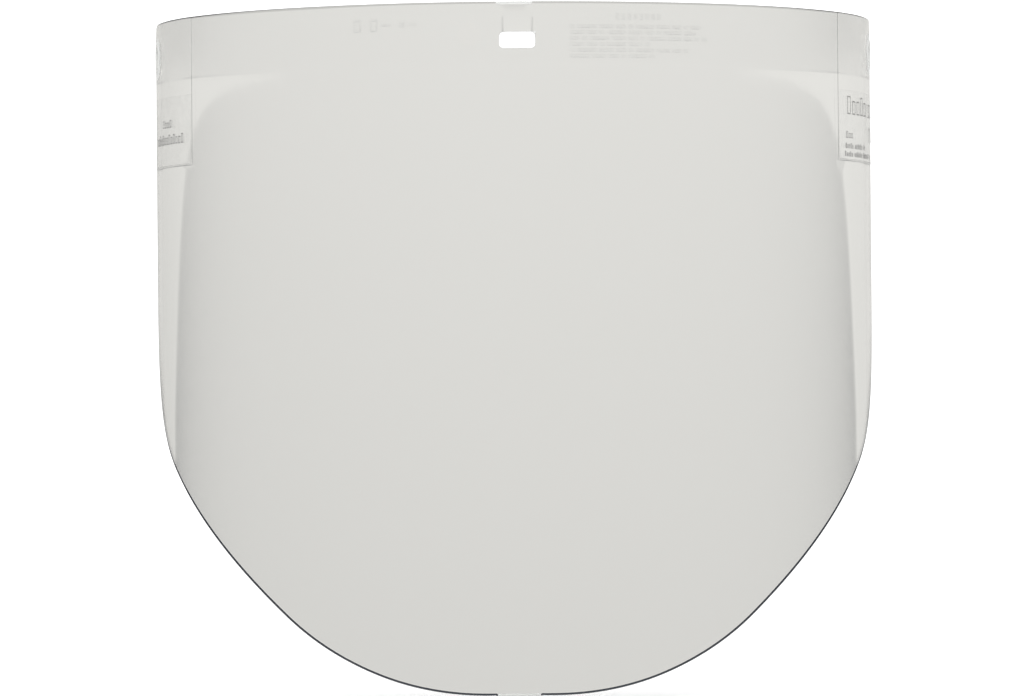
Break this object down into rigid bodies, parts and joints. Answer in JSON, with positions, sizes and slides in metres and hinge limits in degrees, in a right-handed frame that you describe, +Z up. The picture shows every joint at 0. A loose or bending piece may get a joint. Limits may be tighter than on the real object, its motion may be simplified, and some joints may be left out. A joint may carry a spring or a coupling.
{
  "type": "face shield window",
  "caption": "Clear wrap-round face shield pane with a slightly raised top band, a central latch slot, side hook holes, a rounded chin and clear temple labels.",
  "frame": {"origin": "front centre of the flat top edge, half way through the band's wall", "axes": "+Z up, -Y out of the front of the window towards what the wearer looks at, +Y towards the wearer, +X to the right as seen from the front"},
  "size_m": [0.249, 0.1148, 0.2286],
  "materials": {
    "clear_polycarbonate": "clear polished moulded polycarbonate",
    "label_film": "clear satin label film with plain grey hollow boxes"
  },
  "bodies": {
    "root": {"window": "clear_polycarbonate", "left_label": "label_film", "right_label": "label_film"}
  },
  "joints": []
}
